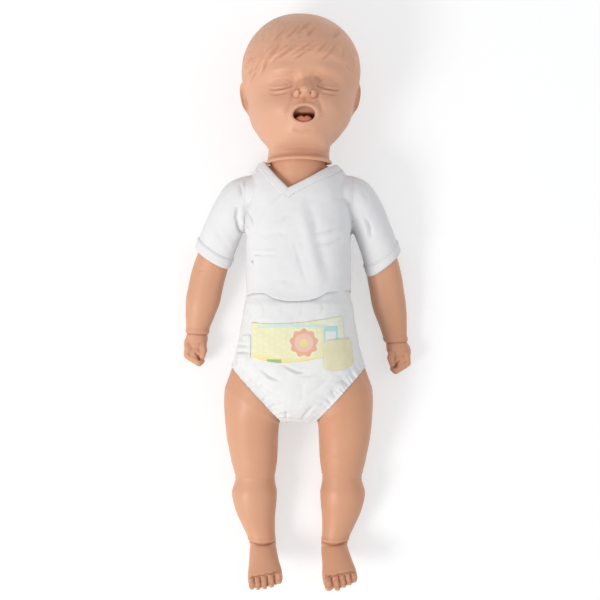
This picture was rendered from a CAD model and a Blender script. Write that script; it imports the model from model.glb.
from math import cos, pi, radians, sin

import bmesh
import bpy
import numpy as np
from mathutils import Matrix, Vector
from mathutils.bvhtree import BVHTree


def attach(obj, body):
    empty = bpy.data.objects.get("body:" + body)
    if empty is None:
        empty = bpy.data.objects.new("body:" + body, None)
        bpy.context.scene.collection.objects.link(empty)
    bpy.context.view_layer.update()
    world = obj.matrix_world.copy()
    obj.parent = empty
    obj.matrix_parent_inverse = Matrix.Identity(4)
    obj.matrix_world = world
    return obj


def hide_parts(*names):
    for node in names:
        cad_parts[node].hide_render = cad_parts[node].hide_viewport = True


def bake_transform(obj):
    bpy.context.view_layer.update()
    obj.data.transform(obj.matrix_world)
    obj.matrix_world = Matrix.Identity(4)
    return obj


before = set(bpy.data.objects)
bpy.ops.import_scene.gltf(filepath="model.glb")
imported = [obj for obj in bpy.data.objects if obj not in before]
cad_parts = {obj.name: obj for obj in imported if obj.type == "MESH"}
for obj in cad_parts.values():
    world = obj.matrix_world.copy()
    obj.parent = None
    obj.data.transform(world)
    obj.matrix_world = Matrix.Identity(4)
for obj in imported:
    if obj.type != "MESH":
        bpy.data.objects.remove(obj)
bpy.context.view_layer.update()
mm = 0.001

# what a user would change about the picture
view = {
    "height": 1.90,      # camera above the floor, m
    "across": 0.6876,    # width seen at the scale plane, m
    "plane": 0.045,      # height of the scale plane, m
    "pixel": 1.146,      # size of one of the picture's 600 pixels at the scale plane, mm
    "aimX": 0.0017,
    "aimY": 0.0006,
}


# shapes
def through(table, at):
    # monotone curves through the rows of a table: column 0 is the place, the rest are values
    t = np.asarray(table, float)
    x, y = t[:, 0], t[:, 1:]
    h = np.diff(x)[:, None]
    slope = np.diff(y, axis=0) / h
    m = np.zeros_like(y)
    m[0], m[-1] = slope[0], slope[-1]
    a, b = slope[:-1], slope[1:]
    same = (a * b) > 0
    w1, w2 = 2 * h[1:] + h[:-1], h[1:] + 2 * h[:-1]
    with np.errstate(divide="ignore", invalid="ignore"):
        inner = (w1 + w2) / (w1 / a + w2 / b)
    m[1:-1] = np.where(same, inner, 0.0)
    at = np.clip(np.asarray(at, float), x[0], x[-1])
    k = np.clip(np.searchsorted(x, at, side="right") - 1, 0, len(x) - 2)
    u = ((at - x[k]) / (x[k + 1] - x[k]))[:, None]
    hk = h[k]
    return ((2 * u**3 - 3 * u**2 + 1) * y[k] + (u**3 - 2 * u**2 + u) * hk * m[k]
            + (-2 * u**3 + 3 * u**2) * y[k + 1] + (u**3 - u**2) * hk * m[k + 1])


def squared(angle, power):
    # cosine and sine pushed out towards a square's corners
    c, s = np.cos(angle), np.sin(angle)
    e = 2.0 / power
    return np.sign(c) * np.abs(c) ** e, np.sign(s) * np.abs(s) ** e


def bump(x, y, cx, cy, rx, ry, h):
    return h * np.exp(-(((x - cx) / rx) ** 2) - ((y - cy) / ry) ** 2)


def alongLine(x, y, line):
    # distance from every point to a polyline, with how far along it the nearest place is, 0 to 1
    line = np.asarray(line, float)
    total = np.linalg.norm(np.diff(line, axis=0), axis=1).sum()
    best = np.full(np.shape(x), 1e9)
    share = np.zeros(np.shape(x))
    done = 0.0
    for (x0, y0), (x1, y1) in zip(line[:-1], line[1:]):
        dx, dy = x1 - x0, y1 - y0
        length = max(np.hypot(dx, dy), 1e-9)
        t = np.clip(((x - x0) * dx + (y - y0) * dy) / length**2, 0, 1)
        d = np.hypot(x - x0 - t * dx, y - y0 - t * dy)
        near = d < best
        best = np.where(near, d, best)
        share = np.where(near, (done + t * length) / total, share)
        done += length
    return best, share


def crease(x, y, line, width, height, taper=0.25):
    # a ridge (or a groove, with a negative height) along a polyline, fading out at its ends
    d, s = alongLine(x, y, line)
    ends = np.clip(np.minimum(s, 1 - s) / max(taper, 1e-6), 0, 1)
    return height * np.exp(-((d / width) ** 2)) * (0.15 + 0.85 * ends**0.7)


def runAlong(places):
    # how far along a line each of its places lies
    return np.concatenate([[0], np.cumsum(np.linalg.norm(np.diff(places, axis=0), axis=1))])


def smoothstep(a, b, x):
    t = np.clip((x - a) / (b - a), 0, 1)
    return t * t * (3 - 2 * t)


def noise(p, size, seed=0, octaves=3):
    # smooth seeded noise from a few crossed waves; p is an array of points
    r = np.random.default_rng(seed)
    total = np.zeros(p.shape[:-1])
    amp = 1.0
    for _ in range(octaves):
        for _ in range(4):
            d = r.normal(size=3)
            d /= np.linalg.norm(d)
            total += amp * np.sin(p @ d * (2 * pi / size) * r.uniform(0.7, 1.3) + r.uniform(0, 2 * pi)) / 4
        amp *= 0.5
        size *= 0.5
    return total


def seen(p):
    # where a point at rest shows in the plan picture, in mm at the scale plane
    k = (view["height"] - view["plane"]) * 1000 / (view["height"] * 1000 - p[..., 2])
    return p[..., 0] * k, p[..., 1] * k


def meshFrom(name, verts, faces, smooth=True):
    # verts in mm
    mesh = bpy.data.meshes.new(name)
    mesh.from_pydata((np.asarray(verts, float) * mm).tolist(), [], faces)
    mesh.update()
    if smooth:
        mesh.shade_smooth()
    obj = bpy.data.objects.new(name, mesh)
    bpy.context.scene.collection.objects.link(obj)
    return obj


def gridFaces(rows, cols, wrap, offset=0):
    i = np.arange(rows - 1)[:, None] * cols
    j = np.arange(cols if wrap else cols - 1)[None, :]
    k = (j + 1) % cols
    f = np.stack([i + j, i + k, i + cols + k, i + cols + j], axis=-1).reshape(-1, 4) + offset
    return f.tolist()


def gridMesh(name, points, wrap=True, startCap=False, endCap=False, uv=None):
    # a mesh over rows of points, each row a ring when wrap is set
    rows, cols, _ = points.shape
    verts = points.reshape(-1, 3)
    faces = gridFaces(rows, cols, wrap)
    if startCap:
        faces.append(list(range(cols))[::-1])
    if endCap:
        faces.append([(rows - 1) * cols + c for c in range(cols)])
    obj = meshFrom(name, verts, faces)
    if uv is not None:
        setUv(obj, uv.reshape(-1, 2))
    return obj


def setUv(obj, uv):
    mesh = obj.data
    layer = mesh.uv_layers.new(name="uv")
    index = np.empty(len(mesh.loops), int)
    mesh.loops.foreach_get("vertex_index", index)
    layer.data.foreach_set("uv", uv[index].astype(np.float32).ravel())


def coords(obj):
    co = np.empty(len(obj.data.vertices) * 3, np.float32)
    obj.data.vertices.foreach_get("co", co)
    return co.reshape(-1, 3).astype(float) / mm


def setCoords(obj, p):
    obj.data.vertices.foreach_set("co", (np.asarray(p) * mm).astype(np.float32).ravel())
    obj.data.update()


def normals(obj):
    n = np.empty(len(obj.data.vertices) * 3, np.float32)
    obj.data.vertices.foreach_get("normal", n)
    return n.reshape(-1, 3).astype(float)


def outward(obj):
    bm = bmesh.new()
    bm.from_mesh(obj.data)
    bmesh.ops.recalc_face_normals(bm, faces=bm.faces)
    bm.to_mesh(obj.data)
    bm.free()


def apply(obj, kind, **settings):
    # one modifier, applied at once
    m = obj.modifiers.new(kind, kind)
    for key, value in settings.items():
        setattr(m, key, value)
    graph = bpy.context.evaluated_depsgraph_get()
    mesh = bpy.data.meshes.new_from_object(obj.evaluated_get(graph))
    obj.modifiers.clear()
    old = obj.data
    obj.data = mesh
    bpy.data.meshes.remove(old)
    return obj


def remesh(obj, size):
    apply(obj, "REMESH", mode="VOXEL", voxel_size=size * mm, use_smooth_shade=True)
    return obj


def relax(obj, times, factor=0.5):
    apply(obj, "SMOOTH", factor=factor, iterations=times)
    return obj


def crevices(obj, times=8, scale=0.45):
    # how far each place lies in a hollow, 0 to 1
    edges = np.empty(len(obj.data.edges) * 2, dtype=np.int32)
    obj.data.edges.foreach_get("vertices", edges)
    a, b = edges.reshape(-1, 2).T
    p = coords(obj)
    q, count = p.copy(), len(p)
    share = np.maximum(np.bincount(np.concatenate([a, b]), minlength=count), 1)[:, None]
    for _ in range(times):
        total = np.stack([np.bincount(a, q[b, k], count) + np.bincount(b, q[a, k], count)
                          for k in range(3)], axis=-1)
        q = (q + total / share) / 2
    return np.clip(((q - p) * normals(obj)).sum(axis=1) / scale, 0, 1)


def joined(name, parts):
    # several meshes as one object
    verts, faces, base = [], [], 0
    for part in parts:
        mesh = part.data
        verts.append(coords(part))
        faces += [[base + v for v in p.vertices] for p in mesh.polygons]
        base += len(mesh.vertices)
        bpy.data.objects.remove(part)
    return meshFrom(name, np.vstack(verts), faces)


def ballPart(centre, radii, turn=None, n=20):
    a = np.linspace(0, pi, n)[1:-1]
    b = np.linspace(0, 2 * pi, 2 * n, endpoint=False)
    ring = np.stack([np.sin(a)[:, None] * np.cos(b), np.sin(a)[:, None] * np.sin(b),
                     np.cos(a)[:, None] + 0 * b], axis=-1)
    p = ring * np.asarray(radii, float)
    if turn is not None:
        p = p @ np.asarray(turn).T
    return gridMesh("part", p + np.asarray(centre, float), startCap=True, endCap=True)


def capsulePart(start, end, r0, r1=None, n=16):
    start, end = np.asarray(start, float), np.asarray(end, float)
    r1 = r0 if r1 is None else r1
    axis = end - start
    length = np.linalg.norm(axis)
    axis = axis / length
    side = np.cross(axis, [0, 0, 1.0])
    if np.linalg.norm(side) < 0.05:
        side = np.cross(axis, [1.0, 0, 0])
    side /= np.linalg.norm(side)
    up = np.cross(side, axis)
    b = np.linspace(0, 2 * pi, n, endpoint=False)
    rows = []
    for q in np.linspace(-pi / 2, 0, 7)[1:]:
        rows.append((r0 * sin(q), r0 * cos(q)))
    for q in np.linspace(0, pi / 2, 7)[:-1]:
        rows.append((length + r1 * sin(q), r1 * cos(q)))
    p = np.array([start + axis * a + (side[None] * np.cos(b)[:, None] + up[None] * np.sin(b)[:, None]) * r
                  for a, r in rows])
    return gridMesh("part", p, startCap=True, endCap=True)


def rotX(deg):
    a = radians(deg)
    return np.array([[1, 0, 0], [0, cos(a), -sin(a)], [0, sin(a), cos(a)]])


def rotY(deg):
    a = radians(deg)
    return np.array([[cos(a), 0, sin(a)], [0, 1, 0], [-sin(a), 0, cos(a)]])


# shading
class Wire:
    # one shader socket that takes part in formulas
    def __init__(self, tree, socket):
        self.tree, self.socket = tree, socket

    def math(self, kind, *others):
        node = self.tree.nodes.new("ShaderNodeMath")
        node.operation = kind
        for place, value in enumerate((self, *others)):
            plug(self.tree, node.inputs[place], value)
        return Wire(self.tree, node.outputs[0])

    def __add__(self, o): return self.math("ADD", o)
    def __sub__(self, o): return self.math("SUBTRACT", o)
    def __mul__(self, o): return self.math("MULTIPLY", o)
    def __truediv__(self, o): return self.math("DIVIDE", o)
    def size(self): return self.math("ABSOLUTE")
    def sin(self): return self.math("SINE")
    def sqrt(self): return self.math("SQRT")
    def fraction(self): return self.math("FRACT")
    def floor(self): return self.math("FLOOR")
    def most(self, o): return self.math("MAXIMUM", o)

    def ramp(self, low, high, start=0.0, end=1.0):
        node = self.tree.nodes.new("ShaderNodeMapRange")
        node.interpolation_type = "SMOOTHSTEP"
        for place, value in enumerate((self, low, high, start, end)):
            plug(self.tree, node.inputs[place], value)
        return Wire(self.tree, node.outputs[0])


def plug(tree, socket, value):
    if isinstance(value, Wire):
        tree.links.new(value.socket, socket)
    elif hasattr(value, "__len__") and len(value) == 3 and socket.type == "RGBA":
        socket.default_value = (*value, 1.0)
    else:
        socket.default_value = value


class Paint:
    # a material with one Principled shader, whose nodes are added by type, settings and inputs
    def __init__(self, name, **constants):
        self.material = bpy.data.materials.new(name)
        self.material.use_nodes = True
        self.tree = self.material.node_tree
        self.shader = self.tree.nodes["Principled BSDF"]
        for key, value in constants.items():
            self.shader.inputs[key.replace("_", " ")].default_value = value
        place = self.node("ShaderNodeTexCoord", {}, {}, "Object")
        self.place = place
        split = self.node("ShaderNodeSeparateXYZ", {}, {"Vector": place}, None)
        self.x, self.y, self.z = (Wire(self.tree, s) for s in split.outputs)

    def node(self, kind, settings, inputs, out=0):
        node = self.tree.nodes.new(kind)
        for key, value in settings.items():
            setattr(node, key, value)
        for key, value in inputs.items():
            plug(self.tree, node.inputs[key], value)
        return node if out is None else Wire(self.tree, node.outputs[out])

    def noise(self, scale, detail=3.0, rough=0.55, at=None, stretch=None):
        at = at or self.place
        if stretch:
            at = self.node("ShaderNodeMapping", {}, {"Vector": at, "Scale": stretch})
        return self.node("ShaderNodeTexNoise", {}, {"Vector": at, "Scale": scale, "Detail": detail,
                                                    "Roughness": rough})

    def attribute(self, name):
        return self.node("ShaderNodeAttribute", {"attribute_name": name}, {}, "Fac")

    def sheetPlace(self):
        split = self.node("ShaderNodeSeparateXYZ", {},
                          {"Vector": self.node("ShaderNodeUVMap", {"uv_map": "uv"}, {})}, None)
        return Wire(self.tree, split.outputs[0]), Wire(self.tree, split.outputs[1])

    def mix(self, share, a, b):
        node = self.tree.nodes.new("ShaderNodeMix")
        node.data_type = "RGBA"
        plug(self.tree, node.inputs[0], share)
        plug(self.tree, node.inputs[6], a)
        plug(self.tree, node.inputs[7], b)
        return Wire(self.tree, node.outputs[2])

    def bump(self, height, strength, distance, below=None):
        inputs = {"Height": height, "Strength": strength, "Distance": distance}
        if below is not None:
            inputs["Normal"] = below
        return self.node("ShaderNodeBump", {}, inputs)

    def set(self, **values):
        for key, value in values.items():
            plug(self.tree, self.shader.inputs[key.replace("_", " ")], value)
        return self.material


def dress(obj, material):
    obj.data.materials.clear()
    obj.data.materials.append(material)
    return obj


def settle(obj, material, slot, body, *nodes):
    # a finished piece: its look, the body it rides on and the nodes it stands for
    dress(obj, material)
    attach(obj, body)
    if nodes:
        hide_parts(*nodes)
    return obj


skinLook = {
    "colour": (0.760, 0.440, 0.290),   # linear
    "shade": (0.660, 0.330, 0.195),
    "blush": (0.730, 0.370, 0.240),
    "limb": (0.690, 0.365, 0.225),
    "limbBlush": (0.640, 0.300, 0.175),
    "deep": (0.36, 0.125, 0.065),
    "rough": 0.46,
    "scatter": 0.10,
}


def skinPaint(name, mouth=False):
    p = Paint(name, Subsurface_Radius=(0.006, 0.003, 0.0015), Subsurface_Scale=1.0, IOR=1.45)
    mottled = p.noise(14.0, 4.0).ramp(0.35, 0.68)
    broad = p.noise(5.0, 2.0).ramp(0.30, 0.70)
    tones = ("colour", "blush") if mouth else ("limb", "limbBlush")
    colour = p.mix(broad * 0.5, skinLook[tones[0]], skinLook[tones[1]])
    colour = p.mix(mottled * 0.16, colour, skinLook["shade"])
    colour = p.mix(p.attribute("fold") * 0.70, colour, skinLook["deep"])
    speck = p.noise(420.0, 2.0).ramp(0.62, 0.74)
    colour = p.mix(speck * 0.10, colour, skinLook["shade"])
    if mouth:
        colour = p.mix(p.attribute("pocket"), colour, (0.20, 0.040, 0.022))
        colour = p.mix(p.attribute("roof"), colour, (0.52, 0.26, 0.16))
        colour = p.mix(p.attribute("blush") * 0.20, colour, (0.80, 0.47, 0.32))
    p.shader.inputs["Subsurface Weight"].default_value = skinLook["scatter"]
    grain = p.noise(900.0, 2.0) * 0.6 + p.noise(190.0, 3.0) * 0.8
    rough = p.noise(60.0, 3.0).ramp(0.3, 0.7, skinLook["rough"] - 0.06, skinLook["rough"] + 0.08)
    relief = p.bump(grain, 0.22, 0.0006)
    if mouth:
        # combed lines of the moulded hair, swept up across the brow
        swept = p.node("ShaderNodeMapping", {}, {"Vector": p.place, "Rotation": (0.0, 0.0, radians(-36)),
                                                 "Scale": (0.10, 1.0, 0.30)})
        combed = p.noise(260.0, 3.0, at=swept) * p.attribute("hair")
        relief = p.bump(combed, 0.55, 0.0022, below=relief)
    return p.set(Base_Color=colour, Roughness=rough, Normal=relief)


clothLook = {
    "colour": (0.830, 0.825, 0.832),
    "shade": (0.765, 0.760, 0.780),
    "wales": 1050.0,      # knit ribs per metre
}


def clothPaint(name, colour=None, wales=None, strength=0.20):
    colour, wales = colour or clothLook["colour"], wales or clothLook["wales"]
    p = Paint(name, Sheen_Weight=0.15, Sheen_Roughness=0.6, IOR=1.4)
    u, v = p.sheetPlace()
    wave = (u * wales * 2 * pi + (v * wales * 1.2 * pi).sin() * 0.9).sin()
    rows = (v * wales * 2 * pi * 0.8).sin()
    knit = wave * 0.5 + rows * 0.3
    fuzz = p.noise(1500.0, 2.0)
    soft = p.noise(22.0, 4.0).ramp(0.35, 0.65)
    tone = p.mix(soft * 0.30, colour, clothLook["shade"])
    tone = p.mix(knit.ramp(-0.8, -0.2, 0.05, 0.0), tone, (0.50, 0.50, 0.53))
    tone = p.mix(p.attribute("fold") * 0.55, tone, (0.44, 0.44, 0.47))
    rough = fuzz.ramp(0.3, 0.7, 0.80, 0.95)
    return p.set(Base_Color=tone, Roughness=rough, Normal=p.bump(knit * 0.6 + fuzz * 0.6, strength, 0.0004))


def plainPaint(name, colour, rough, metal=0.0, grain=500.0, strength=0.1, **extra):
    p = Paint(name, **extra)
    worn = p.noise(grain * 0.1, 3.0).ramp(0.3, 0.7)
    tone = p.mix(worn * 0.2, colour, tuple(c * 0.8 for c in colour))
    p.shader.inputs["Metallic"].default_value = metal
    r = p.noise(grain * 0.3, 3.0).ramp(0.3, 0.7, rough - 0.05, rough + 0.07)
    return p.set(Base_Color=tone, Roughness=r, Normal=p.bump(p.noise(grain, 2.0), strength, 0.0003))


skin = skinPaint("vinyl skin")
faceSkin = skinPaint("vinyl face", mouth=True)
cloth = clothPaint("knitted cotton")
hard = plainPaint("moulded plastic", (0.80, 0.80, 0.77), 0.5)
steel = plainPaint("plated steel", (0.62, 0.62, 0.63), 0.32, metal=1.0)
film = plainPaint("bag film", (0.80, 0.83, 0.85), 0.3)
tubing = plainPaint("soft tube", (0.75, 0.76, 0.72), 0.35)
palate = plainPaint("mouth lining", (0.46, 0.17, 0.11), 0.45, grain=300.0)
tongueLook = plainPaint("tongue", (0.66, 0.21, 0.13), 0.40, grain=350.0, strength=0.25)

cadLooks = {
    hard: ["neck_yoke", "neck_clip", "neck_block", "rib_plate", "guide_post", "shoulder_bush_left",
           "shoulder_bush_right", "hip_bush_left", "hip_bush_right"],
    steel: ["neck_pin", "press_spring", "shoulder_bolt_left", "shoulder_bolt_right", "shoulder_nut_left",
            "shoulder_nut_right", "hip_bolt_left", "hip_bolt_right", "hip_nut_left", "hip_nut_right"],
    film: ["lung_bag"],
    tubing: ["airway_tube"],
    palate: ["mouth_liner"],
    tongueLook: ["tongue"],
}
for look, names in cadLooks.items():
    for name in names:
        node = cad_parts[name]
        node.data.materials.clear()
        node.data.materials.append(look)
print("stage: materials")

# head
head = {
    "pivot": (0.0, 160.0, 68.6),
    "seat": 31.2,         # radius of the ball that the head turns on
    "tilt": 13.0,
    "yaw": 4.0,
    "lean": 3.0,          # how far the crown lies to the manikin's left
    "lipY": 157.6,
    "lipDip": 3.2,        # how far the lip's ends dip towards the shoulders
    "power": 2.15,
    "eye": (26.5, 60.0),
    "noseTip": 51.0,
    "mouth": (27.6, 12.4, 9.0),   # height on the head, half width, half height
    "hairRise": 1.9,
    "strandDepth": 1.5,
    "lash": [(-14.5, 1.6), (-9.0, -1.2), (-2.0, -2.6), (6.0, -2.2), (13.0, -0.2)],   # from the eye's middle
    "ear": {"at": (58.2, 65.0, 12.5), "long": 25.5, "wide": 11.5, "flare": 29.0, "roll": 1.0},
}
# u, half width, back, front
headRows = [
    (-14.0, 36.8, -36.8, 36.8), (-12.8, 37.7, -37.7, 37.8), (-11.2, 37.5, -37.5, 37.8),
    (-9.4, 35.6, -35.8, 36.6), (-7.6, 34.9, -35.2, 36.6), (-3.0, 34.6, -34.8, 38.4),
    (1.0, 34.4, -34.4, 44.0), (4.0, 34.3, -34.2, 53.0), (7.5, 34.4, -34.0, 61.0), (11.5, 35.4, -33.8, 66.4),
    (16.0, 38.4, -34.0, 69.2), (22.0, 44.2, -34.8, 70.8), (30.0, 50.2, -36.4, 72.2),
    (38.0, 55.2, -38.4, 74.0), (46.0, 57.8, -40.6, 74.8), (55.0, 59.2, -42.6, 74.8),
    (64.0, 60.8, -44.4, 75.6), (73.0, 62.8, -45.6, 79.4), (83.0, 65.0, -46.3, 83.4),
    (95.0, 66.4, -46.4, 85.6), (108.0, 65.4, -45.0, 84.8), (120.0, 61.8, -41.6, 80.6),
    (132.0, 56.0, -35.6, 73.0), (143.0, 47.6, -27.0, 62.6), (152.0, 37.8, -16.8, 51.2),
    (159.0, 26.4, -5.4, 38.4), (163.4, 15.0, 3.4, 27.4), (165.2, 6.4, 9.6, 20.6), (165.6, 0.3, 14.8, 15.2),
]


def headPlace(p):
    # from the head's own frame to the row frame, in mm
    turn = rotY(head["yaw"]) @ rotX(-head["tilt"])
    q = p @ turn.T + np.array(head["pivot"])
    q[..., 0] += head["lean"] * smoothstep(165.0, 235.0, q[..., 1])
    return q


def faceHeight(x, u):
    # the face's relief along its front direction
    h = np.zeros_like(x)
    ax = np.abs(x)
    ex, eu = head["eye"]
    h += bump(ax, u, 27.0, 62.0, 13.0, 7.5, -4.4)                    # sockets
    h += bump(ax, u, 12.6, 66.0, 5.5, 7.5, -5.6)                     # inner corners
    h += bump(ax, u, 24.0, 77.0, 17.0, 6.0, 3.0)                     # brows
    r = np.sqrt(((ax - ex) / 14.0) ** 2 + ((u - eu - 1.0) / 8.4) ** 2)
    h += 5.2 * np.clip(1 - r**2, 0, 1) ** 1.2                         # eyeball under the lid
    lash = [(ex + a, eu + b) for a, b in head["lash"]]
    h += crease(ax, u, lash, 1.05, -2.7, 0.10)
    h += crease(ax, u, [(a, b + 1.9) for a, b in lash], 1.4, 0.9, 0.2)
    h += crease(ax, u, [(ex - 12, eu - 4.2), (ex - 5, eu - 7.6), (ex + 3, eu - 8.2), (ex + 10, eu - 6.6)],
                1.3, -1.3)
    h += crease(ax, u, [(ex - 12, eu + 5.4), (ex - 5, eu + 7.6), (ex + 4, eu + 7.8), (ex + 12, eu + 4.6)],
                1.4, -0.8)
    h += bump(ax, u, 34.0, 37.0, 17.0, 14.0, 3.8)                    # cheeks
    # nose: a ridge that widens to the tip, and wings at each side
    n = head["noseTip"]
    ridge = through([(0, 0), (n - 7.2, 0.0), (n - 5.8, 1.4), (n - 4.4, 5.6), (n - 2.6, 10.8), (n, 13.8),
                     (n + 3.5, 13.4),
                     (n + 8, 8.6), (n + 14, 4.0), (n + 21, 1.0), (n + 28, 0.0),
                     (200, 0)], u.ravel()).reshape(u.shape)
    wide = through([(0, 6.4), (n - 5, 6.6), (n, 8.6), (n + 6, 7.8), (n + 14, 7.4), (n + 24, 10.0), (200, 10)],
                   u.ravel()).reshape(u.shape)
    h += ridge * np.exp(-((ax / wide) ** 2.2))
    wing = np.clip(1 - ((ax - 9.0) / 4.3) ** 2 - ((u - n + 0.8) / 4.6) ** 2, 0, 1) ** 0.6
    h = np.maximum(h, h * 0.35 + wing * 7.6)
    h += crease(x, u, [(-8, 65.5), (2.6, 69.0), (9.7, 70.8), (19, 66.5)], 2.8, -1.7, 0.3)   # root
    h += bump(ax, u, 5.3, n - 1.6, 1.7, 1.5, -3.4)                    # nostrils
    h += bump(ax, u, 14.2, n - 0.5, 1.8, 5.0, -1.4)                   # behind the wings
    h += crease(ax, u, [(12.5, n - 4), (17.0, n - 13), (19.0, n - 22)], 3.0, -1.2)
    # muzzle, lips and the open mouth
    mu, mw, mh = head["mouth"]
    h += bump(x, u, 0.0, mu + 2.0, 17.0, 14.5, 3.4)
    up = u - mu
    high = np.where(up > 0, mh * 0.93, mh * 0.94)
    r = (np.abs(x / mw) ** 1.8 + np.abs(up / high) ** 2) ** 0.52
    gap = (r - 1) * 9.6                                               # mm outside the opening, roughly
    h += np.where(up > 0, 1.9, 1.7) * np.exp(-(((gap - 2.4) / np.where(up > 0, 3.2, 2.0)) ** 2))
    h += bump(x, u, 0.0, mu + 15.4, 2.4, 4.0, -0.7)                   # philtrum
    h += crease(x, u, [(-12, mu - 15.0), (0, mu - 17.2), (12, mu - 15.0)], 2.8, -2.2)
    h += bump(x, u, 0.0, mu - 22.0, 14.0, 6.5, 2.4)                   # chin
    pocket = smoothstep(0.3, -0.9, gap)
    roof = smoothstep(1.5, 5.0, up)
    h -= pocket * 2.2
    h -= smoothstep(-0.4, -1.7, gap) * (21.0 - 15.5 * roof)
    roof = roof * pocket
    return h, pocket, gap, roof


# moulded hair: strands in the plan picture, mm, each a start, a middle and an end with its width and height
def hairStrands():
    k = view["pixel"]
    # from places in a closer view
    px = lambda a, b: ((235 + a / 9.22 - 298.5) * k, (300.5 - 5 - b / 9.22) * k)
    rows = [
        ((335, 505), (420, 440), (560, 360), 1.0), ((500, 445), (600, 385), (725, 300), 1.1),
        ((540, 478), (640, 415), (760, 330), 0.9), ((400, 470), (480, 400), (600, 300), 0.8),
        ((730, 425), (790, 380), (850, 325), 1.0), ((790, 480), (860, 430), (925, 330), 1.1),
        ((640, 275), (690, 235), (730, 190), 0.8), ((262, 520), (320, 440), (420, 330), 1.0),
        ((225, 640), (255, 560), (300, 470), 0.9), ((300, 470), (360, 390), (430, 300), 0.7),
        ((960, 365), (975, 410), (985, 470), 0.8), ((1000, 455), (1045, 520), (1075, 610), 1.0),
        ((1040, 400), (1085, 480), (1110, 570), 0.8), ((1010, 560), (1050, 640), (1070, 720), 0.8),
        ((115, 620), (150, 560), (185, 480), 0.9), ((160, 600), (200, 520), (250, 430), 0.8),
        ((130, 720), (150, 660), (185, 590), 0.8), ((150, 790), (165, 720), (180, 660), 0.8),
        ((450, 300), (520, 240), (600, 180), 0.6), ((560, 250), (620, 200), (690, 150), 0.6),
        ((880, 300), (930, 260), (960, 220), 0.5), ((340, 330), (400, 260), (470, 200), 0.5),
        ((1085, 700), (1095, 760), (1100, 820), 0.7), ((95, 560), (130, 480), (170, 410), 0.6),
    ]
    return [([px(*a), px(*b), px(*c)], w) for a, b, c, w in rows]


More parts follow.
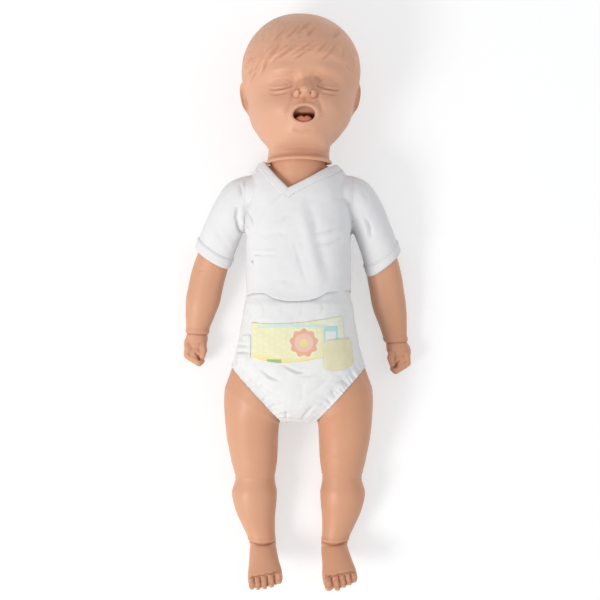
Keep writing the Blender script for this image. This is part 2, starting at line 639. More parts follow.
def buildHead():
    rows = np.asarray(headRows, float)
    run = runAlong(rows[:, [0, 1, 3]])
    table = np.column_stack([run, rows])
    count, cols = ((252, 344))
    # rows lie closer over the face
    at = np.linspace(0, 1, 600)
    lu = through(table, at * run[-1])[:, 0]
    weight = 1 + 1.5 * ((lu > 8) & (lu < 72)) + 1.0 * ((lu > 72) & (lu < 115))
    grow = np.cumsum(weight)
    places = np.interp(np.linspace(grow[0], grow[-1], count), grow, at) * run[-1]
    u, w, back, front = through(table, places).T
    t = np.linspace(0, 2 * pi, cols, endpoint=False)
    a = t + 0.50 * np.cos(t)
    c, s = squared(a, head["power"])
    mid, half = (front + back) / 2, (front - back) / 2
    x = w[:, None] * c
    f = mid[:, None] + half[:, None] * s
    uu = np.repeat(u[:, None], cols, axis=1)
    # the lip's edge lies square to the trunk while the head lies tilted
    tilt = radians(head["tilt"])
    edge = (head["lipY"] - head["lipDip"] * (x / 37.0) ** 2 - head["pivot"][1] - f * sin(tilt)) / cos(tilt)
    uu = np.where(uu < 14, edge + (uu + 14.0) * (14.0 - edge) / 28.0, uu)
    relief, pocket, gap, roof = faceHeight(x, uu)
    facing = smoothstep(0.10, 0.55, s)[None, :] * smoothstep(-4.0, 6.0, uu)
    f = f + relief * facing
    p = np.stack([x, uu, f], axis=-1)
    # the lip turns in under itself
    inner = []
    for shrink, rise in [(0.8, -0.3), (2.6, -0.2), (4.6, 0.6), (6.0, 3.0), (6.4, 7.0)]:
        ring = p[0].copy()
        radius = np.hypot(ring[:, 0], ring[:, 2])
        scale = (radius - shrink) / radius
        ring[:, 0] *= scale
        ring[:, 2] *= scale
        ring[:, 1] += rise
        inner.insert(0, ring)
    p = np.concatenate([np.array(inner), p], axis=0)
    extra = len(inner)
    q = headPlace(p)
    obj = gridMesh("head_surface", q, endCap=True)
    outward(obj)
    n = normals(obj)
    co = coords(obj)
    sx, sy = seen(co)
    # hair: a raised cap with a swept edge, and strands over it
    lx, lu, lf = p.reshape(-1, 3).T
    hairline = np.where(lf > 40, 92.0, 92.0 - smoothstep(40, -5, lf) * 34.0)
    hairline = hairline - 6.0 * smoothstep(20, 50, np.abs(lx)) * (lf > 20)
    cap = smoothstep(-3.0, 5.0, lu - hairline)
    top = co[:, 2] > 40
    strands = np.zeros(len(co))
    for path, width in hairStrands():
        pts = np.asarray(path)
        # a quadratic curve through the three places
        tt = np.linspace(0, 1, 7)[:, None]
        mid = 2 * pts[1] - (pts[0] + pts[2]) / 2
        curve = (1 - tt) ** 2 * pts[0] + 2 * tt * (1 - tt) * mid + tt**2 * pts[2]
        strands += crease(sx, sy, curve, 1.35 * width + 0.6, 1.0, 0.35)
        strands -= crease(sx, sy, curve + np.array([1.5, -2.1]), 1.3 * width + 0.5, 0.7, 0.35)
    strands = np.where(top, strands, 0.0)
    # finer hair lines run back from the brow to the crown all over
    angle = np.arctan2(lx - 8, lf - 10)
    fine = np.sin(angle * 44 + noise(p.reshape(-1, 3), 40.0, 3) * 2.2 + lu * 0.05)
    fine *= smoothstep(96, 118, lu) * 0.16 + smoothstep(30, -10, lf) * smoothstep(40, 70, lu) * 0.20
    rise = cap * (head["hairRise"] * 0.45 + fine)
    rise = rise + strands * head["strandDepth"] * smoothstep(-16, -2, lu - hairline)
    co += n * rise[:, None]
    co[:, 2] = np.maximum(co[:, 2], 0.05)
    setCoords(obj, co)
    ex, eu = head["eye"]
    lash = crease(np.abs(x), uu, [(ex + a, eu + b) for a, b in head["lash"]], 0.8, 0.85, 0.12) * facing
    lash = np.concatenate([np.zeros(extra * cols), lash.ravel()])
    hollow = crevices(obj, 6, 0.42) * (1 - 0.65 * cap)
    paintPoints(obj, "fold", np.maximum(hollow, lash))
    for label, values in (("pocket", pocket * facing), ("roof", roof * facing),
                          ("blush", np.exp(-((gap - 2.4) / 3.0) ** 2) * facing),
                          ("hair", cap.reshape(p.shape[:2])[extra:])):
        paintPoints(obj, label, np.concatenate([np.zeros(extra * cols), values.ravel()]))
    settle(obj, faceSkin, "skin_vinyl", "head", "head_skin", "mouth_liner")
    for sign in (1, -1):
        buildEar(sign)
    buildTongue()


def buildEar(sign):
    # a flat ear: rolled rim, inner fold, hollow and lobe, sunk into the side of the head
    ear = head["ear"]
    rings, around = 30, 96
    r = np.linspace(0, 1, rings)[:, None]
    t = np.linspace(0, 2 * pi, around, endpoint=False)[None]
    up = r * np.cos(t) * ear["long"]
    out = r * np.sin(t) * ear["wide"] * (1 + 0.18 * np.cos(t))
    across, height = np.sin(t), np.cos(t)
    rim = np.exp(-(((r - 0.86) / 0.10) ** 2)) * smoothstep(-0.75, -0.2,
                                                           height) * smoothstep(0.95, 0.3, across)
    fold = np.exp(-(((r - 0.50) / 0.13) ** 2))
    h = 1.2 + 3.4 * rim * ear["roll"]
    h += 1.9 * fold * smoothstep(0.5, -0.4, across) * smoothstep(-0.8, -0.1, height)
    h += bump(up, out, -15.0, 1.0, 5.0, 6.0, 1.9)
    hollow = bump(up, out, -3.5, 3.4, 5.0, 4.0, 1.0)
    h -= 5.2 * hollow
    h += bump(up, out, -4.0, 9.6, 3.4, 1.8, 1.6)
    h -= 5.5 * smoothstep(0.90, 1.0, r)
    flare = radians(ear["flare"])
    centre = np.array([sign * ear["at"][0], ear["at"][1], ear["at"][2]])
    normal = np.array([sign * cos(flare), 0.0, sin(flare)])
    along = np.array([-sign * sin(flare), 0.0, cos(flare)])
    lean = np.array([sign * 0.20, cos(radians(8)), -sin(radians(8))])   # the top stands further out
    lean /= np.linalg.norm(lean)
    front = centre + up[..., None] * lean + out[..., None] * along + h[..., None] * normal
    back = front[::-1][1:] - normal * np.linspace(1.0, 7.0, rings - 1)[:, None, None]
    obj = gridMesh("ear_" + ("left" if sign > 0 else "right"), headPlace(np.concatenate([front, back])),
                   startCap=False, endCap=True)
    bm = bmesh.new()
    bm.from_mesh(obj.data)
    bmesh.ops.remove_doubles(bm, verts=bm.verts, dist=1e-6)
    bm.to_mesh(obj.data)
    bm.free()
    outward(obj)
    obj.data.shade_smooth()
    q = (coords(obj) - np.array(head["pivot"])) @ (rotY(head["yaw"]) @ rotX(-head["tilt"]))
    q -= centre + np.array([head["lean"], 0, 0])
    inHollow = bump(q @ lean, q @ along, -3.5, 3.4, 4.2, 3.2, 1.0) * (q @ normal < 2.0) * (q @ normal > -6.0)
    paintPoints(obj, "pocket", np.clip(inHollow * 1.3, 0, 0.85))
    settle(obj, faceSkin, "skin_vinyl", "head")


def buildTongue():
    # a rounded tongue with a notch at the middle of its upper edge
    mu = head["mouth"][0]
    t = np.linspace(0, 2 * pi, 64, endpoint=False)
    rows = []
    for depth in np.linspace(0, 12, 26):
        size = float(np.interp(depth, [0, 0.4, 1.2, 2.6, 5.0, 12.0], [0.04, 0.42, 0.70, 0.90, 1.0, 0.94]))
        x = 9.8 * size * np.cos(t)
        u = 4.9 * size * np.sin(t)
        u = np.where(u > 0, u * (1.06 - 0.42 * np.exp(-((x / 1.7) ** 2))), u)
        rows.append(np.column_stack([x + 0.2, mu - 4.3 + u, np.full(64, 72.0 - depth) - 0.012 * x**2]))
    obj = gridMesh("tongue_form", headPlace(np.array(rows)), startCap=True, endCap=True)
    outward(obj)
    settle(obj, tongueLook, "tongue_rubber", "head", "tongue")


def paintPoints(obj, label, values):
    layer = obj.data.attributes.new(label, "FLOAT", "POINT")
    layer.data.foreach_set("value", values.astype(np.float32))


buildHead()
print("stage: head")


# limbs
limbs = {
    "shoulder": (61.6, 116.0, 50.0),
    "hipTurn": 42.0,         # the hip's axis below straight out, degrees
    "hip": (48.0, -104.0, 45.0),
    "voxel": 1.15,           # surface grain of the vinyl meshes, mm
    "footLength": 57.0,
    "footPitch": 53.0,
    "heelY": -287.0,
    "footLean": {"left": 7.0, "right": -4.0},
}
# x, y, z, direction across the plan from straight out, half width, half depth; root first
armRows = {
    "left": [(61.6, 116, 50, 0, 21.8, 22.0), (68, 111.5, 49, 20, 22.0, 22.2), (76, 96, 45, 46, 18.0, 20.0),
             (86.4, 73, 37, 62, 17.3, 19.4), (96, 42, 28, 74, 19.4, 20.4), (100.6, 22, 22.6, 76, 19.9, 20.4),
             (104.6, -2, 19.8, 80, 19.7, 19.0), (109.8, -26, 17.6, 79, 16.4, 16.0),
             (113, -44, 15.6, 80, 13.4, 12.8), (114.4, -50.5, 15.4, 81, 12.6, 12.0),
             (115.4, -58, 15.4, 84, 12.8, 11.6)],
    "right": [(61.6, 116, 50, 0, 21.8, 22.0), (68, 112, 49, 20, 22.0, 22.2), (77, 97, 45, 46, 18.2, 20.0),
              (88, 75, 37, 62, 17.3, 19.4), (99, 46, 28, 71, 19.4, 20.4), (104.8, 28, 22.6, 74, 19.9, 20.4),
              (110.2, 4, 19.8, 79, 19.9, 19.0), (114.8, -18, 17.6, 82, 16.6, 16.0),
              (117.6, -34, 15.6, 85, 13.2, 12.8), (118.2, -41, 15.4, 87, 12.5, 12.0),
              (118.6, -48, 15.4, 89, 12.7, 11.6)],
}
handAt = {"left": (116.4, -67.0, 15.6), "right": (119.2, -58.0, 15.6)}
thighRows = [(53.0, -119, 44.0, 58, 37.0, 38.6), (53.6, -136, 41.0, 80, 31.8, 35.6),
             (52.6, -160, 35.6, 93, 29.2, 31.0), (51.0, -184, 30.4, 92, 26.4, 27.6),
             (50.4, -199, 27.6, 90, 23.6, 24.6), (50.3, -206, 26.6, 90, 22.6, 23.6),
             (50.6, -212, 26.2, 90, 23.8, 24.2), (51.0, -222, 25.4, 91, 26.0, 25.2),
             (49.8, -238, 23.6, 95, 24.0, 23.4), (46.2, -258, 20.8, 100, 19.0, 19.6),
             (42.8, -274, 19.4, 98, 15.8, 17.4), (41.4, -283, 19.0, 90, 15.2, 17.0)]


def limbGrid(rows, count=90, cols=72, power=2.15):
    # rings of points along a limb, and how far along it each ring lies
    rows = np.asarray(rows, float)
    run = runAlong(rows[:, :3])
    x, y, z, turn, wide, deep = through(np.column_stack([run, rows]), np.linspace(0, run[-1], count)).T
    c, s = squared(np.linspace(0, 2 * pi, cols, endpoint=False), power)
    across = np.stack([np.sin(np.radians(turn)), np.cos(np.radians(turn)), 0 * turn], axis=-1)
    centre = np.stack([x, y, z], axis=-1)
    ring = centre[:, None] + across[:, None] * (wide[:, None] * c)[..., None]
    ring[..., 2] += deep[:, None] * s
    return ring


def ringAcross(centre, axis, wide, deep, cols=72, power=2.15):
    # one oval ring square to a level axis
    c, s = squared(np.linspace(0, 2 * pi, cols, endpoint=False), power)
    side = np.array([-axis[1], axis[0], 0.0])
    ring = np.asarray(centre, float) + side * (wide * c)[:, None]
    ring[:, 2] += deep * s
    return ring


def hipFrame(sign):
    # a hip's middle and the axis its leg turns about
    turn = radians(limbs["hipTurn"])
    return mirroredX(np.array(limbs["hip"]), sign), np.array([sign * cos(turn), -sin(turn), 0.0])


def mirroredX(points, sign):
    return points * np.array([sign, 1.0, 1.0])


def handParts(side):
    # a loosely closed hand on its side: thumb and first finger uppermost, fingers curled towards the body
    x, y, z = handAt[side]
    at = lambda a, b, c: np.array([x + a, y + b, z + c])
    parts = [ballPart(at(1.0, 7.0, -0.4), (13.4, 14.5, 11.6)),
             ballPart(at(2.4, -2.5, 0.2), (11.6, 11.5, 11.4))]
    for k in range(4):
        lift = 7.6 - 5.1 * k
        size = (4.1, 4.3, 4.0, 3.5)[k]
        back = (0.0, 1.0, 0.4, -2.4)[k]
        parts.append(capsulePart(at(8.6 + back * 0.4, 4.0, lift), at(9.6 + back * 0.4, -4.8 - back, lift),
                                 size + 0.2, size))
        parts.append(capsulePart(at(9.6 + back * 0.4, -4.8 - back, lift), at(-3.4, -13.8 - back, lift),
                                 size, size - 0.3))
        parts.append(capsulePart(at(-3.4, -13.8 - back, lift), at(-6.6, -11.4 - back, lift - 1.2),
                                 size - 0.3, size - 0.7))
    parts.append(capsulePart(at(-6.6, 9.0, 4.4), at(-9.4, 0.6, 8.6), 5.2, 4.4))
    parts.append(capsulePart(at(-9.4, 0.6, 8.6), at(-7.8, -6.4, 10.2), 4.4, 3.5))
    return parts


def finishSkin(obj, sign, body):
    # mirror, set on the floor, colour and join to its body
    if sign < 0:
        setCoords(obj, mirroredX(coords(obj), -1))
    outward(obj)
    return settle(obj, skin, "skin_vinyl", body, body)


def buildArm(side, sign):
    rows = armRows[side]
    limb = gridMesh("part", limbGrid(rows), startCap=True, endCap=True)
    obj = joined("arm_" + side + "_skin", [limb] + handParts(side))
    remesh(obj, limbs["voxel"] * (0.88))
    relax(obj, 3, 0.5)
    p, n = coords(obj), normals(obj)
    x, y, z = p.T
    depth = np.zeros(len(p))
    wristY = rows[-2][1] + 1.5
    near = np.exp(-(((y - wristY - 0.8 * np.sin((x - 115) * 0.13)) / 1.15) ** 2))
    depth -= 1.05 * near * smoothstep(4.0, 12.0, z)                       # crease round the wrist
    depth += 0.9 * np.exp(-(((y - wristY - 3.6) / 3.0) ** 2)) * smoothstep(4, 12, z)   # plump edge above it
    hx, hy, hz = handAt[side]
    nail = np.hypot(x - (hx - 7.9), (y - (hy - 7.4)) * 0.8)
    depth -= 0.6 * smoothstep(2.6, 2.1, nail) * (z > hz + 9.5)            # thumb nail
    depth += 0.35 * np.exp(-(((nail - 2.8) / 0.45) ** 2)) * (z > hz + 9.5)
    split = [(hx + 1.0, hy - 1.0), (hx - 2.6, hy - 6.4), (hx - 4.4, hy - 10.2), (hx - 9.0, hy - 11.4)]
    depth += crease(x, y, split, 1.1, -1.7, 0.25) * (z > hz + 4)          # between thumb and finger
    knuckles = [(hx + 9.5, hy - 2.0), (hx + 7.0, hy - 5.0), (hx + 5.6, hy - 8.4)]
    depth += crease(x, y, knuckles, 1.0, -0.6, 0.3) * (z > hz + 4)
    elbow = [(100, 33), (107, 30), (114, 30)] if side == "left" else [(102, 38), (110, 35), (117, 35)]
    depth += crease(x, y, elbow, 1.6, -0.5, 0.4) * (z > 24)
    depth += 0.12 * noise(p, 22.0, 5)
    p += n * depth[:, None]
    p[:, 2] = np.maximum(p[:, 2], 0.15)
    p[:, 0] = np.maximum(p[:, 0], limbs["shoulder"][0])
    setCoords(obj, p)
    paintPoints(obj, "fold", crevices(obj) * smoothstep(20.0, -5.0, y))
    return finishSkin(obj, sign, "arm_" + side)


def toeParts(heel, along, across, up, side):
    # five toes from the big one outwards: place across, width, length, lift
    table = {
        "left": [(14.4, 4.9, 9.0, 0.5), (5.0, 4.9, 11.6, 0.9), (-2.6, 3.7, 10.2, 0.7),
                 (-9.4, 3.7, 8.4, 0.4), (-15.6, 3.2, 5.6, -0.2)],
        "right": [(15.0, 4.5, 5.6, 1.4), (6.6, 4.4, 9.4, 0.9), (-1.6, 4.1, 11.2, 0.7),
                  (-9.0, 3.9, 11.0, 0.4), (-15.8, 3.5, 9.6, 0.0)],
    }[side]
    parts, tips = [], []
    length = limbs["footLength"]
    for place, size, reach, lift in table:
        root = heel + along * length * 0.82 + across * place + up * (lift + 0.3)
        knuckle = root + along * (3.0 + reach * 0.35) + up * 2.6
        tip = root + along * (3.4 + reach) - up * 0.8
        parts += [capsulePart(root, knuckle, size - 0.2, size - 0.3),
                  capsulePart(knuckle, tip, size - 0.3, size - 0.1)]
        tips.append((knuckle, tip, size))
    return parts, tips


def buildLeg(side, sign):
    hip, axis = hipFrame(1)
    first = ringAcross(hip + axis * 0.6, axis, 40.0, 40.0)
    rest = limbGrid(thighRows, count=110)
    # the root's ring starts where the others do, so that the wall doesn't twist
    start = np.argmin(np.linalg.norm(first - rest[0, 0], axis=1))
    first = np.roll(first, -start, axis=0)
    if np.linalg.norm(first[5] - rest[0, 5]) > np.linalg.norm(first[-5] - rest[0, 5]):
        first = np.roll(first[::-1], 1, axis=0)
    blendRows = [first + (rest[0] - first) * t for t in (0.0, 0.25, 0.5, 0.75)]
    grid = np.concatenate([np.array(blendRows), rest], axis=0)
    ankle = thighRows[-1]
    pitch = radians(limbs["footPitch"])
    heel = np.array([ankle[0], limbs["heelY"], 15.5])
    reach = np.array([limbs["footLean"][side], -cos(pitch) * limbs["footLength"],
                      sin(pitch) * limbs["footLength"]])
    along = reach / np.linalg.norm(reach)
    across = np.cross(along, [0, 0, 1.0])
    across /= np.linalg.norm(across)
    up = np.cross(across, along)
    inner = 1.0 if across[0] < 0 else -1.0
    b = np.linspace(0, 2 * pi, 48, endpoint=False)
    rings = []
    table = [(-0.17, 8.4, 7.6, 1.0), (-0.10, 12.0, 11.0, 1.0), (-0.02, 14.4, 13.8, 1.2),
             (0.10, 15.6, 15.4, 2.0), (0.26, 16.2, 15.6, 2.2),
             (0.5, 17.8, 13.0, 1.0), (0.72, 19.8, 10.4, -0.6), (0.88, 20.0, 8.2, -1.2),
             (0.97, 18.6, 6.6, -1.4)]
    for share, wide, deep, lift in through(np.array([(k, *t) for k, t in enumerate(table)]),
                                           np.linspace(0, 8, 40)):
        centre = heel + reach * share + up * lift
        rings.append(centre + across * (wide * np.cos(b))[:, None] + up * (deep * np.sin(b))[:, None])
    toes, tips = toeParts(heel, along, across * inner, up, side)
    limb = gridMesh("part", grid, startCap=True, endCap=True)
    foot = gridMesh("part", np.array(rings), startCap=True, endCap=True)
    obj = joined("leg_" + side + "_skin", [limb, foot] + toes)
    remesh(obj, limbs["voxel"] * (0.92))
    relax(obj, 3, 0.5)
    p, n = coords(obj), normals(obj)
    x, y, z = p.T
    depth = np.zeros(len(p))
    front = smoothstep(-0.3, 0.5, n[:, 2])
    # folds at the knee
    knee = [(22, -200), (33, -203.5), (50, -204.5), (68, -203), (78, -200)]
    depth += crease(x, y, knee, 1.7, -1.1, 0.25) * (0.35 + 0.65 * (1 - front))
    depth += crease(x, y, [(30, -181), (45, -179.6), (62, -181)], 2.4, -0.25, 0.4) * front
    depth += 0.8 * np.exp(-(((x - 50) / 15) ** 2) - ((y + 192) / 9) ** 2) * front       # kneecap
    # ankle: a plump lip over the foot
    lip = -278.6 - 2.2 * np.cos((x - 41.4) / 15.0 * 1.3)
    over = y - lip
    soft = np.exp(-((over / 1.2) ** 2)) * front * (z > 18)
    depth -= 1.5 * soft
    depth += 0.9 * np.exp(-(((over - 2.4) / 2.2) ** 2)) * front * (z > 18)
    # creases over the toes' roots, and nails
    q = p - heel
    a, s, h = q @ along, q @ across * inner, q @ up
    toeShade = np.zeros(len(p))
    for knuckle, tip, size in tips:
        kq, tq = knuckle - heel, tip - heel
        ka, ks = kq @ along, kq @ across * inner
        ta, ts, th = tq @ along, tq @ across * inner, tq @ up
        arc = a - (ka - 3.6) + 0.09 * (s - ks) ** 2
        depth -= 1.3 * np.exp(-((arc / 1.0) ** 2)) * np.exp(-(((s - ks) / size) ** 4)) * (h > 0)
        nail = np.sqrt(((s - ts) / (size * 0.66)) ** 2 + ((a - ta + 0.2) / (size * 0.78)) ** 2)
        onTop = (h > th + size * 0.35)
        depth -= 0.5 * smoothstep(1.05, 0.85, nail) * onTop
        depth += 0.28 * np.exp(-(((nail - 1.12) / 0.13) ** 2)) * onTop
        toeShade = np.maximum(toeShade, 0.6 * np.exp(-(((nail - 1.0) / 0.16) ** 2)) * onTop)
    clefts = sorted((t[0] - heel) @ across * inner for t in tips)
    for left, right in zip(clefts, clefts[1:]):
        cleft = 1.2 * np.exp(-(((s - (left + right) / 2) / 0.8) ** 2))
        depth -= cleft * smoothstep(limbs["footLength"] * 0.84, limbs["footLength"] * 0.92, a) * (h > -4)
    depth += 0.14 * noise(p, 26.0, 8)
    p += n * depth[:, None]
    p[:, 2] = np.maximum(p[:, 2], 0.15)
    out = (p - hip) @ axis
    p += axis * np.maximum(0.6 - out, 0)[:, None]
    setCoords(obj, p)
    paintPoints(obj, "fold", np.maximum(toeShade, crevices(obj) * smoothstep(-262.0, -272.0, y)))
    return finishSkin(obj, sign, "leg_" + side)


for side, sign in (("left", 1), ("right", -1)):
    buildArm(side, sign)
    buildLeg(side, sign)
print("stage: limbs")


# clothes
clothes = {
    "side": 6.0,              # from the bare trunk to the shirt's face at the sides, mm
    "front": 5.2,
    "collar": ((0.0, 149.4, 92.0), (0.037, 1.0, 0.085)),   # the collar's plane: a place and its normal
    "thick": 1.3,
    "voxel": 1.45,
    "splitX": 61.0,           # where a sleeve begins
    "twistEnd": 75.0,         # how far out the sleeve's cloth twists as the arm swings
    "bandWidth": 9.6,
    "hemWidth": 12.5,
    "snap": (-51.0, 43.0),
    "stitch": (2.6, 0.34),    # length of a stitch and its half thickness
}
trunkRows = [(-131, 24, 23.6, 62, 2.0), (-121, 43, 12.6, 76, 2.2), (-98, 62, 5.6, 86, 2.4),
             (-70, 62, 5.6, 91, 2.5), (-40, 57, 5.6, 93, 2.5), (0, 54, 5.6, 94, 2.5),
             (45, 53.5, 5.6, 96, 2.5), (88, 54.5, 5.6, 98, 2.5), (118, 54, 5.6, 97, 2.4),
             (138, 48, 9.6, 92, 2.3), (152, 40, 19.6, 86, 2.1)]
shirtRows = trunkRows[:-2] + [(132, 51.5, 8.0, 94, 2.3), (144, 46.5, 13.0, 90, 2.1),
                              (152, 41.0, 18.0, 86, 2.0),
                             (164, 33.0, 26.0, 78, 2.0)]
sleeveRows = {
    "left": [(50, 117, 50, 0, 26.0, 27.4), (58, 115.5, 50, 10, 26.4, 27.6),
             (66.5, 111.5, 49, 25, 25.8, 27.2), (77.0, 97.4, 45, 48, 22.9, 26.0),
             (87.5, 74.2, 38, 58, 21.7, 23.8), (98.4, 43.6, 28.8, 52, 24.2, 22.6),
             (106, 25, 25, 52, 25.0, 22.6)],
    "right": [(50, 117, 50, 0, 26.0, 27.4), (58, 115.5, 50, 10, 26.4, 27.6),
              (66.5, 112.0, 49, 25, 26.0, 27.2), (77.6, 98.4, 45, 48, 23.5, 26.0),
              (88.5, 76.6, 38, 60, 22.3, 23.8), (99.2, 50.2, 29.4, 57.4, 23.2, 22.6),
              (107, 33, 26, 57.4, 23.6, 22.6)],
}
hemPlace = {"left": (98.4, 43.6, 28.8, 52.0), "right": (99.2, 50.2, 29.4, 57.4)}


def picture(*places, height=45.0):
    # places in the 600-pixel picture as mm, at a height above the floor
    k = view["pixel"] * (1900.0 - height) / 1855.0
    return [((a - 298.5) * k, (300.5 - b) * k) for a, b in places]


def trunkGrid(side, back, front, y0, y1, rows, count=90, cols=120, power=None, start=0.0):
    y = np.linspace(y1, y0, count)
    vals = through(np.asarray(rows, float), y)
    wide, low, high = vals[:, 0] + side, vals[:, 1] - back, vals[:, 2] + front
    square = vals[:, 3] if power is None else np.full(count, power)
    t = np.linspace(0, 2 * pi, cols, endpoint=False) + start
    out = np.zeros((count, cols, 3))
    for k in range(count):
        c, s = squared(t, square[k])
        out[k, :, 0] = wide[k] * c
        out[k, :, 1] = y[k]
        out[k, :, 2] = (low[k] + high[k]) / 2 + (high[k] - low[k]) / 2 * s
    return out


def surfaceOf(obj):
    return BVHTree.FromObject(obj, bpy.context.evaluated_depsgraph_get())


def dropOn(tree, plan, lift=0.0):
    # points of a plan grid let down on to a surface, lifted along its normal, in mm
    shape = plan.shape[:-1]
    out = np.zeros((*shape, 3))
    for index in np.ndindex(*shape):
        x, y = plan[index]
        hit, normal, _, _ = tree.ray_cast(Vector((x * mm, y * mm, 0.3)), Vector((0, 0, -1)))
        if hit is None or normal.z < 0.05:
            hit, normal, _, _ = tree.find_nearest(Vector((x * mm, y * mm, 0.09)))
        rise = lift[index] if hasattr(lift, "shape") else lift
        out[index] = np.array(hit) / mm + np.array(normal) * rise
    return out


def cutBy(obj, point, normal, keepBelow=True):
    # trim a mesh by a plane; what lies on the normal's side goes
    bm = bmesh.new()
    bm.from_mesh(obj.data)
    geometry = bm.verts[:] + bm.edges[:] + bm.faces[:]
    bmesh.ops.bisect_plane(bm, geom=geometry, plane_co=Vector(point) * mm, plane_no=Vector(normal),
                           clear_outer=keepBelow, clear_inner=not keepBelow)
    bm.to_mesh(obj.data)
    bm.free()
    return obj


def dropFaces(obj, test):
    # remove the faces whose middles pass a test on (x, y, z) and normal
    bm = bmesh.new()
    bm.from_mesh(obj.data)
    gone = [f for f in bm.faces if test(*(f.calc_center_median() / mm), f.normal)]
    bmesh.ops.delete(bm, geom=gone, context="FACES")
    loose = [v for v in bm.verts if not v.link_faces]
    bmesh.ops.delete(bm, geom=loose, context="VERTS")
    bm.to_mesh(obj.data)
    bm.free()
    return obj


def copyOf(obj, name):
    twin = obj.copy()
    twin.data = obj.data.copy()
    twin.name = name
    twin.data.name = name
    bpy.context.scene.collection.objects.link(twin)
    return twin


def flatUv(obj):
    # cloth coordinates: across and along the body, wrapped round its sides
    p = coords(obj)
    around = np.arctan2(p[:, 2] - 48.0, p[:, 0]) * 52.0
    uv = np.column_stack([around * mm, p[:, 1] * mm])
    for layer in list(obj.data.uv_layers):
        obj.data.uv_layers.remove(layer)
    setUv(obj, uv)


def thicken(obj, thick):
    apply(obj, "SOLIDIFY", thickness=thick * mm, offset=-1.0, use_even_offset=False)


def plumpUp(obj, thick):
    apply(obj, "SOLIDIFY", thickness=thick * mm, offset=-1.0)


def insideOutline(x, y, outline):
    hit = np.zeros(np.shape(x), bool)
    pts = list(outline)
    for (x0, y0), (x1, y1) in zip(pts, pts[1:] + pts[:1]):
        cross = (y0 > y) != (y1 > y)
        at = (x1 - x0) * (y - y0) / (y1 - y0 if y1 != y0 else 1e-9) + x0
        hit ^= cross & (x < at)
    return hit


# folds of the shirt: a path in the picture, width and height in mm, how its ends fade
shirtFolds = [
    (((236.6, 206), (235.6, 218), (239.3, 230), (243, 234)), 1.7, -2.6, 0.2),
    (((243, 206), (241.5, 216), (244, 228), (249, 231.5)), 3.0, 2.8, 0.2),
    (((247, 212), (251, 219), (253.5, 226)), 1.6, -1.7, 0.35),
    (((242.4, 181), (243.4, 188), (243.9, 195)), 1.5, 1.3, 0.4),
    (((239.6, 183), (240.3, 190), (241.4, 197)), 1.6, -1.3, 0.4),
    (((246, 233), (244.6, 240), (241, 249)), 1.6, -3.4, 0.3),
    (((298, 199), (304.5, 223), (308.6, 240), (316.5, 267), (319.5, 287)), 8.0, 1.9, 0.3),
    (((307, 199), (313.5, 223), (317.0, 240), (324.5, 267), (328.5, 285)), 7.0, -1.6, 0.3),
    (((293.3, 242), (299.4, 262), (306, 283)), 2.4, -0.7, 0.4),
    (((253.5, 254.6), (262, 255), (277, 253.6)), 1.5, -1.35, 0.3),
    (((254, 251.6), (264, 251.6), (276, 250.6)), 2.0, 0.9, 0.3),
    (((316, 240), (327, 237), (341, 231), (350, 228.5)), 2.8, 0.8, 0.35),
    (((314, 234), (327, 231.5), (339, 227)), 2.6, -0.6, 0.35),
    (((316, 246), (330, 243.5), (344, 236)), 2.4, -0.8, 0.35),
    (((262, 236), (276, 233), (290, 236)), 3.4, -0.9, 0.4),
    (((269, 280), (282, 281), (296, 284)), 3.0, -0.5, 0.4),
    (((270, 222), (282, 219), (291, 214)), 3.0, -0.6, 0.4),
    (((350, 228.5), (349.0, 236), (350.2, 250), (356, 262), (364, 272)), 2.4, 1.5, 0.25),
    (((351.5, 231), (353, 243), (356, 254), (361, 265), (366, 272)), 3.2, -5.5, 0.3),
    (((365, 217), (370, 226), (371.5, 239)), 2.0, -1.5, 0.35),
    (((361, 218), (365.5, 228), (367, 240)), 2.2, 1.4, 0.35),
    (((362, 190), (365, 195), (369, 199)), 2.0, -0.7, 0.4),
    (((343, 233), (346.5, 246), (349, 262)), 2.6, 0.7, 0.4),
    (((330, 196), (346, 201), (359, 210)), 4.5, -0.8, 0.4),
    (((214, 226), (222, 240), (231, 252)), 3.0, -0.7, 0.4),
    (((229, 196), (222, 206), (215, 219)), 3.6, -0.6, 0.4),
]


def shirtForm():
    # the clothed trunk and both sleeves as one surface, cut open and split afterwards
    trunk = trunkGrid(clothes["side"], 5.3, clothes["front"], 0.5, 163.5, shirtRows)
    parts = [gridMesh("part", trunk, startCap=True, endCap=True)]
    for side, sign in (("left", 1), ("right", -1)):
        sleeve = mirroredX(limbGrid(sleeveRows[side], 60, 72), sign)
        parts.append(gridMesh("part", sleeve, startCap=True, endCap=True))
        parts.append(ballPart((sign * 46, 119, 50), (27, 24.5, 34)))
    for part in parts:
        outward(part)
    form = joined("shirt_form", parts)
    remesh(form, clothes["voxel"] * (1.0))
    relax(form, 6, 0.5)
    p, n = coords(form), normals(form)
    sx, sy = seen(p)
    facing = smoothstep(-0.15, 0.45, n[:, 2])
    depth = np.zeros(len(p))
    for path, width, height, taper in shirtFolds:
        depth += crease(sx, sy, picture(*path), width, height, taper) * facing
    rough = noise(p * [1.0, 0.8, 1.0], 46.0, 21) * 0.55 + noise(p * [1.2, 1.0, 1.0], 19.0, 22) * 0.20
    depth += rough * smoothstep(2.0, 12.0, p[:, 2])
    p += n * depth[:, None]
    p[:, 2] = np.maximum(p[:, 2], 0.25)
    setCoords(form, p)
    paintPoints(form, "fold", crevices(form, 10, 0.8))
    return form


neckOpening = picture((260.0, 144), (260.8, 163.6), (288.2, 195.4), (341.0, 170.0), (342, 144), height=92.0)


